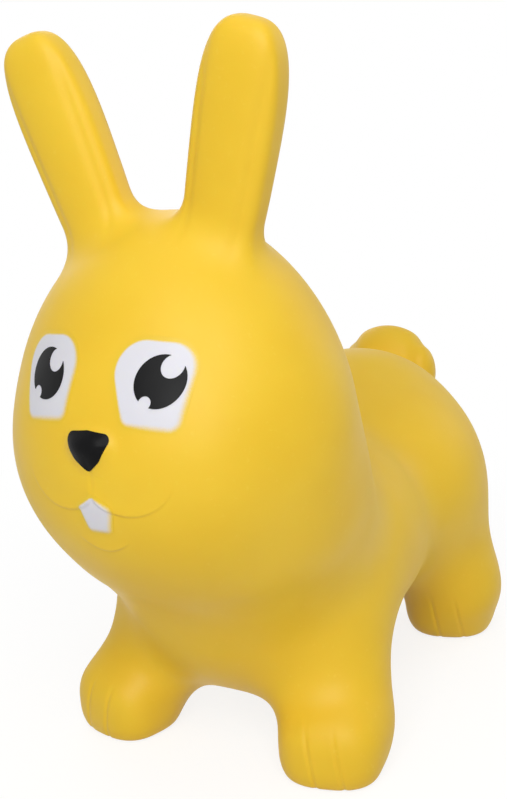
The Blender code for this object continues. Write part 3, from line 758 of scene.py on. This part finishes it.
def ring_mesh(name, rings):
    """A closed tube through rings of points that all have the same number of points."""
    count = len(rings[0])
    faces = []
    for i in range(len(rings) - 1):
        for j in range(count):
            k = (j + 1) % count
            faces.append((i * count + j, i * count + k, (i + 1) * count + k, (i + 1) * count + j))
    faces.append(tuple(range(count))[::-1])
    faces.append(tuple(range((len(rings) - 1) * count, len(rings) * count)))
    mesh = bpy.data.meshes.new(name)
    mesh.from_pydata([tuple(p) for ring in rings for p in ring], [], faces)
    shape = bmesh.new()
    shape.from_mesh(mesh)
    bmesh.ops.recalc_face_normals(shape, faces=shape.faces)
    shape.to_mesh(mesh)
    shape.free()
    return mesh


def turned(name, outline, x, y):
    """A solid turned about an upright axis from an outline of (radius, height) points."""
    angles = [2 * math.pi * i / ROUND_SIDES for i in range(ROUND_SIDES)]
    rings = [
        [(x + r * math.cos(a), y + r * math.sin(a), z) for a in angles] for r, z in outline
    ]
    return add_object(name, ring_mesh(name, rings))


def outline_around(discs):
    """The line stretched around discs, each an (x, z, radius) in the front view."""
    line = []
    for i in range(OUTLINE_POINTS):
        angle = 2 * math.pi * i / OUTLINE_POINTS
        ux, uz = math.cos(angle), math.sin(angle)
        x, z, radius = max(discs, key=lambda d: d[0] * ux + d[1] * uz + d[2])
        point = (x + radius * ux, z + radius * uz)
        if not line or math.dist(point, line[-1]) > PROBE / 10:
            line.append(point)
    return line


def outline_inset(outline, places):
    """How far inside a convex outline each (x, z) place lies, negative outside."""
    inset = np.full(len(places), np.inf)
    for (ax, az), (bx, bz) in zip(outline, outline[1:] + outline[:1]):
        length = math.dist((ax, az), (bx, bz))
        left = (places[:, 1] - az) * (bx - ax) - (places[:, 0] - ax) * (bz - az)
        inset = np.minimum(inset, left / length)
    return inset


def make_skin():
    """The rabbit's skin on a fine mesh, with the valve hole under its belly."""
    mesh = rough_mesh(VOXEL)
    points = points_of(mesh)
    edges = edges_of(mesh)
    for _ in range(RELAX_ROUNDS):
        points = relax(settle(points, 1), edges)
    points = settle(points, 2)
    mesh.vertices.foreach_set("co", points.ravel())
    for _ in range(REFINE_ROUNDS):
        refine(mesh)
    points = points_of(mesh)
    points[:, 2] = np.clip(points[:, 2], 0, None)
    mesh.vertices.foreach_set("co", points.ravel())
    mesh.update()
    skin = add_object("skin", mesh)
    seat = valve_face + PLUG_HEAD_THICKNESS + PLUG_FIT
    hole = turned(
        "valve_hole",
        [
            (PLUG_HEAD_WIDTH / 2 + PLUG_FIT, valve_face - OVERRUN),
            (PLUG_HEAD_WIDTH / 2 + PLUG_FIT, seat),
            (VALVE_BORE / 2, seat),
            (VALVE_BORE / 2, valve_face + PLUG_STEM_LENGTH + OVERRUN),
        ],
        valve_x,
        valve_y,
    )
    skin = boolean(skin, hole)
    skin.data.shade_smooth()
    skin.data.set_sharp_from_angle(angle=SHARP_ANGLE)
    return skin


def refine(mesh):
    """Splits the mesh's cells where the surface bends too tightly for them."""
    points = points_of(mesh)
    bend = ((relax(points, edges_of(mesh)) - points) * slope_at(points)).sum(axis=1)
    tight = np.flatnonzero(np.abs(bend) > LEAST_BEND)
    shape = bmesh.new()
    shape.from_mesh(mesh)
    shape.verts.ensure_lookup_table()
    cells = {face for i in tight for face in shape.verts[i].link_faces}
    sides = {edge for face in cells for edge in face.edges}
    bmesh.ops.subdivide_edges(shape, edges=list(sides), cuts=1, use_grid_fill=True)
    shape.to_mesh(mesh)
    shape.free()
    old = len(points)
    points = points_of(mesh)
    points[old:] = settle(points[old:], 3)
    mesh.vertices.foreach_set("co", points.ravel())


def tree_of(mesh):
    return BVHTree.FromPolygons(
        [v.co for v in mesh.vertices], [tuple(p.vertices) for p in mesh.polygons]
    )


def make_slab(name, outline):
    """A thin slab between Y = 0 and Y = 1, gridded finely over an outline's box."""
    line = np.array(outline)
    low, high = line.min(axis=0) - FILM_CELL, line.max(axis=0) + FILM_CELL
    nx, nz = np.ceil((high - low) / FILM_CELL).astype(int)
    xs, zs = np.linspace(low[0], high[0], nx + 1), np.linspace(low[1], high[1], nz + 1)
    points = [(x, y, z) for y in (0, 1) for z in zs for x in xs]
    layer = (nx + 1) * (nz + 1)
    faces = []
    for j in range(nz):
        for i in range(nx):
            a = j * (nx + 1) + i
            front = (a, a + 1, a + nx + 2, a + nx + 1)
            faces += [front, tuple(layer + k for k in reversed(front))]
    rim = list(range(nx)) + [nx + j * (nx + 1) for j in range(nz)]
    rim += [nz * (nx + 1) + i for i in range(nx, 0, -1)]
    rim += [j * (nx + 1) for j in range(nz, 0, -1)]
    for a, b in zip(rim, rim[1:] + rim[:1]):
        faces.append((a, layer + a, layer + b, b))
    mesh = bpy.data.meshes.new(name)
    mesh.from_pydata(points, [], faces)
    return add_object(name, mesh)


def make_prism(outline):
    """A prism through an outline of the front view, past both layers of a slab."""
    rings = [[(x, y, z) for x, z in outline] for y in (-1, 2)]
    return add_object("prism", ring_mesh("prism", rings))


def make_film(name, outline, tree, lift, bites=()):
    """A film of paint that follows the skin inside an outline of the front view."""
    film = boolean(make_slab(name, outline), make_prism(outline), "INTERSECT")
    for bite in bites:
        film = boolean(film, make_prism(bite))
    front = head.centre[1] - HEAD_LENGTH
    for vert in film.data.vertices:
        x, layer, z = vert.co
        hit, normal, _, _ = tree.ray_cast(Vector((x, front, z)), Vector((0, 1, 0)))
        rise = lift if layer < 0.5 else -FILM_BED
        vert.co = hit + normal * rise
    film.name = name
    film.data.shade_smooth()
    film.data.set_sharp_from_angle(angle=SHARP_ANGLE)
    return film


def sprayed_film(name, discs, tree, lift):
    """White sprayed inside discs: it covers the skin less and less across its edge, which is
    softer towards +X and downwards, the side that the spray came from."""
    grown = [(x, z, radius + SPRAY_REACH) for x, z, radius in discs]
    film = make_film(name, outline_around(grown), tree, lift)
    places = points_of(film.data)[:, [0, 2]]
    middle = np.mean([disc[:2] for disc in discs], axis=0)
    towards = (places - middle) @ np.array(SPRAY_FROM)
    towards /= np.abs(towards).max()
    soft = soft_step(towards * 2)
    softness = CRISP_EDGE + (SOFT_EDGE - CRISP_EDGE) * soft
    cover = outline_inset(outline_around(discs), places) / softness
    film.data.attributes.new("cover", "FLOAT", "POINT").data.foreach_set("value", cover)
    return film


def eye_discs(side):
    """The corners of an eye's white patch, each lower on the outer side."""
    x = side * eye_point[0] + EYE_DRIFT[0]
    z = eye_point[2] + EYE_DRIFT[1]
    half_width = EYE_WIDTH / 2 - EYE_CORNER
    top = z + EYE_HEIGHT / 2 - EYE_CORNER
    foot = EYE_WIDTH / 2 * EYE_FOOT_SHARE - EYE_FOOT_CORNER
    foot_x = x + EYE_FOOT_DRIFT
    bottom = z - EYE_HEIGHT / 2 + EYE_FOOT_CORNER
    slant = side * EYE_SLANT
    return [
        (x + half_width, top - slant / 2, EYE_CORNER),
        (x - half_width, top + slant / 2, EYE_CORNER),
        (foot_x + foot, bottom - slant, EYE_FOOT_CORNER),
        (foot_x - foot, bottom + slant, EYE_FOOT_CORNER),
    ]


def nose_discs():
    x, _, z = nose.centre
    shoulder = NOSE_WIDTH / 2 - NOSE_CORNER
    top, foot = NOSE_HEIGHT / 2 - NOSE_CORNER, NOSE_HEIGHT / 2 - NOSE_TIP
    return [
        (x - shoulder, z + top, NOSE_CORNER),
        (x + shoulder, z + top, NOSE_CORNER),
        (x, z + NOSE_HEIGHT / 2 + NOSE_ARCH - NOSE_ARCH_RADIUS, NOSE_ARCH_RADIUS),
        (x, z - foot, NOSE_TIP),
    ]


def tooth_discs():
    """Five corners, of which the upper three lie along the mouth."""
    x, _, z = mouth_point
    shoulder = TOOTH_WIDTH / 2 - TOOTH_CORNER
    foot = TOOTH_FOOT_WIDTH / 2 - TOOTH_CORNER
    bottom = z - TOOTH_HEIGHT + TOOTH_CORNER
    return [
        (x, z - TOOTH_CORNER, TOOTH_CORNER),
        (x - shoulder, z - TOOTH_SHOULDER_DROP, TOOTH_CORNER),
        (x + shoulder, z - TOOTH_SHOULDER_DROP, TOOTH_CORNER),
        (x - foot, bottom, TOOTH_CORNER),
        (x + foot, bottom, TOOTH_CORNER),
    ]


def disc_outline(x, z, width):
    return outline_around([(x, z, width / 2)])


def make_face(skin):
    tree = tree_of(skin.data)
    films = {}
    for side, hand in ((1, "left"), (-1, "right")):
        white = sprayed_film(f"{hand}_eye_paint", eye_discs(side), tree, EYE_PAINT)
        films[f"{hand}_eye_white"] = white
        x, _, z = eye_point
        middle = side * (x + PUPIL_INSET)
        height = z + PUPIL_RISE
        radius = PUPIL_WIDTH / 2
        glints = ((GLINT_WIDTH, GLINT_SHARES), (SMALL_GLINT_WIDTH, SMALL_GLINT_SHARES))
        bites = [
            disc_outline(middle + across * radius, height + up * radius, width)
            for width, (across, up) in glints
        ]
        outline = disc_outline(middle, height, PUPIL_WIDTH)
        films[f"{hand}_pupil"] = make_film(f"{hand}_pupil_paint", outline, tree, PAINT, bites)
    films["nose"] = make_film("nose_paint", outline_around(nose_discs()), tree, PAINT)
    films["tooth"] = sprayed_film("tooth_paint", tooth_discs(), tree, TOOTH_PAINT)
    return films


def make_stopper():
    """The valve's plug: a flat head with a rounded edge, and a ribbed stem."""
    edge = PLUG_HEAD_THICKNESS / 3
    head_radius = PLUG_HEAD_WIDTH / 2
    dish_floor, dish_rim = PLUG_DISH_SHARES
    outline = [(head_radius * dish_floor, PLUG_DISH), (head_radius * dish_rim, 0)]
    for i in range(PLUG_EDGE_STEPS + 1):
        angle = math.pi / 2 * i / PLUG_EDGE_STEPS
        outline.append(
            (head_radius - edge + edge * math.sin(angle), edge - edge * math.cos(angle))
        )
    outline.append((head_radius, PLUG_HEAD_THICKNESS))
    rise = PLUG_HEAD_THICKNESS
    rib = VALVE_BORE / 2 - PLUG_FIT
    outline.append((PLUG_NECK / 2, rise))
    rise += PLUG_RIB_PITCH / 4
    for _ in range(PLUG_RIBS):
        for i in range(PLUG_RIB_STEPS + 1):
            share = math.sin(math.pi * i / PLUG_RIB_STEPS) ** 2
            radius = PLUG_NECK / 2 + (rib - PLUG_NECK / 2) * share
            outline.append((radius, rise + PLUG_RIB_PITCH * i / (PLUG_RIB_STEPS + 1)))
        rise += PLUG_RIB_PITCH
    outline.append((PLUG_TIP_WIDTH / 2, PLUG_HEAD_THICKNESS + PLUG_STEM_LENGTH))
    outline = [(r, valve_face + z) for r, z in outline]
    stopper = turned("stopper", outline, valve_x, valve_y)
    stopper.data.shade_smooth()
    stopper.data.set_sharp_from_angle(angle=SHARP_ANGLE)
    return stopper


def stand_over_origin(pieces):
    """Moves everything so that the middle of the rabbit's length is over the origin."""
    ys = points_of(pieces[0].data)[:, 1]
    for piece in pieces:
        piece.data.transform(Matrix.Translation((0, -(ys.min() + ys.max()) / 2, 0)))


def new_material(name):
    material = bpy.data.materials.new(name)
    material.use_nodes = True
    tree = material.node_tree
    return material, tree, tree.nodes["Principled BSDF"]


def add_node(tree, kind, **values):
    """A shader node with its properties, and its inputs by name, set."""
    node = tree.nodes.new(kind)
    for key, value in values.items():
        if key in node.inputs:
            node.inputs[key].default_value = value
        else:
            setattr(node, key, value)
    return node


def noise(tree, scale, detail):
    """A noise over the piece, in the object's own coordinates."""
    place = add_node(tree, "ShaderNodeTexCoord")
    node = add_node(tree, "ShaderNodeTexNoise", Scale=scale, Detail=detail)
    tree.links.new(place.outputs["Object"], node.inputs["Vector"])
    return node.outputs["Fac"]


def between(tree, factor, span, new_span=(0, 1)):
    """Maps a factor smoothly from one span to another."""
    spans = {
        "From Min": span[0],
        "From Max": span[1],
        "To Min": new_span[0],
        "To Max": new_span[1],
    }
    node = add_node(tree, "ShaderNodeMapRange", interpolation_type="SMOOTHSTEP", **spans)
    tree.links.new(factor, node.inputs["Value"])
    return node.outputs["Result"]


def blend_colours(tree, factor, low, high):
    """Low where the factor is 0 and high where it is 1.  Each is a colour or an output."""
    node = add_node(tree, "ShaderNodeMix", data_type="RGBA")
    tree.links.new(factor, node.inputs["Factor"])
    # The mix node has one A, B and Result for each data type, and the colours' come third
    for socket, colour in ((node.inputs[6], low), (node.inputs[7], high)):
        if isinstance(colour, bpy.types.NodeSocket):
            tree.links.new(colour, socket)
        else:
            socket.default_value = (*colour, 1)
    return node.outputs[2]


def yellow_colour(tree):
    """The PVC's yellow, a little uneven as a thick moulding is."""
    patches = between(tree, noise(tree, *PATCH_NOISE), PATCH_SPAN)
    colour = blend_colours(tree, patches, YELLOW, YELLOW_DEEP)
    specks = between(tree, noise(tree, *SPECK_NOISE), SPECK_SPAN, (0, SPECK_STRENGTH))
    return blend_colours(tree, specks, colour, YELLOW_DUSTY)


def add_finish(tree, shader, name):
    """The uneven gloss of a surface and its fine grain."""
    roughness, gloss_noise, strength, grain_noise = FINISHES[name]
    gloss = between(tree, noise(tree, *gloss_noise), MIDDLE_SPAN, roughness)
    tree.links.new(gloss, shader.inputs["Roughness"])
    bump = add_node(tree, "ShaderNodeBump", Strength=strength, Distance=GRAIN_DEPTH)
    tree.links.new(noise(tree, *grain_noise), bump.inputs["Height"])
    tree.links.new(bump.outputs["Normal"], shader.inputs["Normal"])


def soften(shader):
    """Soft PVC lets a little light in and has a dusty sheen."""
    for socket, value in SOFT_PVC.items():
        shader.inputs[socket].default_value = value


def yellow_pvc():
    material, tree, shader = new_material("yellow soft pvc")
    tree.links.new(yellow_colour(tree), shader.inputs["Base Color"])
    add_finish(tree, shader, "yellow")
    soften(shader)
    return material


def sprayed_white():
    """White paint sprayed through a stencil: where it thins out, the yellow shows through."""
    material, tree, shader = new_material("sprayed white paint")
    cover = add_node(tree, "ShaderNodeAttribute", attribute_name="cover").outputs["Fac"]
    grit_span = (-GRIT_STRENGTH, GRIT_STRENGTH)
    grit = between(tree, noise(tree, *GRIT_NOISE), MIDDLE_SPAN, grit_span)
    total = add_node(tree, "ShaderNodeMath", operation="ADD")
    tree.links.new(cover, total.inputs[0])
    tree.links.new(grit, total.inputs[1])
    amount = between(tree, total.outputs[0], (-1, 1))
    colour = blend_colours(tree, amount, yellow_colour(tree), WHITE)
    tree.links.new(colour, shader.inputs["Base Color"])
    add_finish(tree, shader, "white")
    soften(shader)
    return material


def gloss_black(name, finish, shine):
    material, tree, shader = new_material(name)
    colour = blend_colours(tree, noise(tree, *BLACK_NOISE), BLACK, BLACK_WORN)
    tree.links.new(colour, shader.inputs["Base Color"])
    add_finish(tree, shader, finish)
    shader.inputs["Specular IOR Level"].default_value = shine
    return material


def white_plug():
    material, tree, shader = new_material("white plug")
    colour = blend_colours(tree, noise(tree, *PLUG_NOISE), WHITE, PLUG_WORN)
    tree.links.new(colour, shader.inputs["Base Color"])
    add_finish(tree, shader, "plug")
    return material


def paint_everything(skin, films, stopper):
    white = sprayed_white()
    pupil = gloss_black("black pupil paint", "pupil", PUPIL_SHINE)
    paints = {
        "left_eye_white": white,
        "right_eye_white": white,
        "left_pupil": pupil,
        "right_pupil": pupil,
        "nose": gloss_black("black nose paint", "nose", NOSE_SHINE),
        "tooth": white,
    }
    skin.data.materials.append(yellow_pvc())
    for node, film in films.items():
        film.data.materials.append(paints[node])
    stopper.data.materials.append(white_plug())


def add_light(name, place, aim, size, power):
    data = bpy.data.lights.new(name, "AREA")
    data.shape = "SQUARE"
    data.size = size
    data.energy = power
    light = add_object(name, data)
    light.location = place
    light.rotation_euler = (Vector(place) - Vector(aim)).to_track_quat("Z", "Y").to_euler()


def make_stage():
    """A white floor that keeps the rabbit's shadow and turns plain white further out."""
    shape = bmesh.new()
    bmesh.ops.create_circle(shape, cap_ends=True, segments=FLOOR_SIDES, radius=FLOOR_RADIUS)
    mesh = bpy.data.meshes.new("floor")
    shape.to_mesh(mesh)
    shape.free()
    floor = add_object("floor", mesh)
    material, tree, shader = new_material("white floor")
    shader.inputs["Base Color"].default_value = (*FLOOR_COLOUR, 1)
    shader.inputs["Roughness"].default_value = FLOOR_ROUGHNESS
    place = add_node(tree, "ShaderNodeTexCoord")
    length = add_node(tree, "ShaderNodeVectorMath", operation="LENGTH")
    tree.links.new(place.outputs["Object"], length.inputs[0])
    far = between(tree, length.outputs["Value"], FLOOR_FADE)
    white = add_node(tree, "ShaderNodeEmission")
    glow = add_node(tree, "ShaderNodeEmission", Strength=FLOOR_WHITE)
    near_floor = blend_shaders(tree, FLOOR_GLOW, shader, glow)
    seen_floor = blend_shaders(tree, far, near_floor, white)
    floor_shader = blend_shaders(tree, seen_rays(tree), shader, seen_floor)
    tree.links.new(floor_shader.outputs[0], tree.nodes["Material Output"].inputs["Surface"])
    mesh.materials.append(material)


def blend_shaders(tree, factor, low, high):
    """Low where the factor, a number or an output, is 0 and high where it is 1."""
    node = add_node(tree, "ShaderNodeMixShader")
    if isinstance(factor, bpy.types.NodeSocket):
        tree.links.new(factor, node.inputs[0])
    else:
        node.inputs[0].default_value = factor
    tree.links.new(low.outputs[0], node.inputs[1])
    tree.links.new(high.outputs[0], node.inputs[2])
    return node


def seen_rays(tree):
    """1 for the rays that show the background: camera, glossy and transmission rays."""
    path = add_node(tree, "ShaderNodeLightPath")
    rays = path.outputs["Is Camera Ray"]
    for name in ("Is Glossy Ray", "Is Transmission Ray"):
        most = add_node(tree, "ShaderNodeMath", operation="MAXIMUM")
        tree.links.new(rays, most.inputs[0])
        tree.links.new(path.outputs[name], most.inputs[1])
        rays = most.outputs[0]
    return rays


def make_room():
    """White where it is seen, and softer as light on the rabbit."""
    world = bpy.data.worlds.new("room")
    bpy.context.scene.world = world
    world.use_nodes = True
    tree = world.node_tree
    background = tree.nodes["Background"]
    background.inputs["Color"].default_value = (1, 1, 1, 1)
    strength = add_node(tree, "ShaderNodeMapRange")
    strength.inputs["To Min"].default_value = ROOM_LIGHT
    tree.links.new(seen_rays(tree), strength.inputs["Value"])
    tree.links.new(strength.outputs["Result"], background.inputs["Strength"])


def make_camera():
    azimuth, elevation, roll = (math.radians(a) for a in CAMERA_ANGLES)
    back = Vector(
        (
            math.sin(azimuth) * math.cos(elevation),
            -math.cos(azimuth) * math.cos(elevation),
            math.sin(elevation),
        )
    )
    level = Vector((math.cos(azimuth), math.sin(azimuth), 0))
    upright = back.cross(level)
    right = level * math.cos(roll) + upright * math.sin(roll)
    up = upright * math.cos(roll) - level * math.sin(roll)
    camera = bpy.data.cameras.new("camera")
    camera.sensor_width = SENSOR
    camera.lens = CAMERA_FOCUS_PX / PHOTO_HEIGHT_PX * SENSOR
    camera.clip_start = CLIP_START
    obj = add_object("camera", camera)
    matrix = Matrix((right, up, back)).transposed().to_4x4()
    matrix.translation = Vector(CAMERA_TARGET) + back * CAMERA_DISTANCE
    obj.matrix_world = matrix
    bpy.context.scene.camera = obj


def make_lights():
    middle = (0, 0, head.centre[2])
    for name, (place, size, power) in LIGHTS.items():
        add_light(name, place, middle, size, power)


skin = make_skin()
films = make_face(skin)
stopper = make_stopper()
paint_everything(skin, films, stopper)
stand_over_origin([skin, stopper, *films.values()])

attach(skin, RABBIT)
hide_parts("body_skin")
for node, film in films.items():
    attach(film, RABBIT)
    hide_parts(node)
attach(stopper, PLUG)
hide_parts("valve_plug")

make_stage()
make_room()
make_camera()
make_lights()
bpy.context.scene.view_settings.view_transform = "Standard"
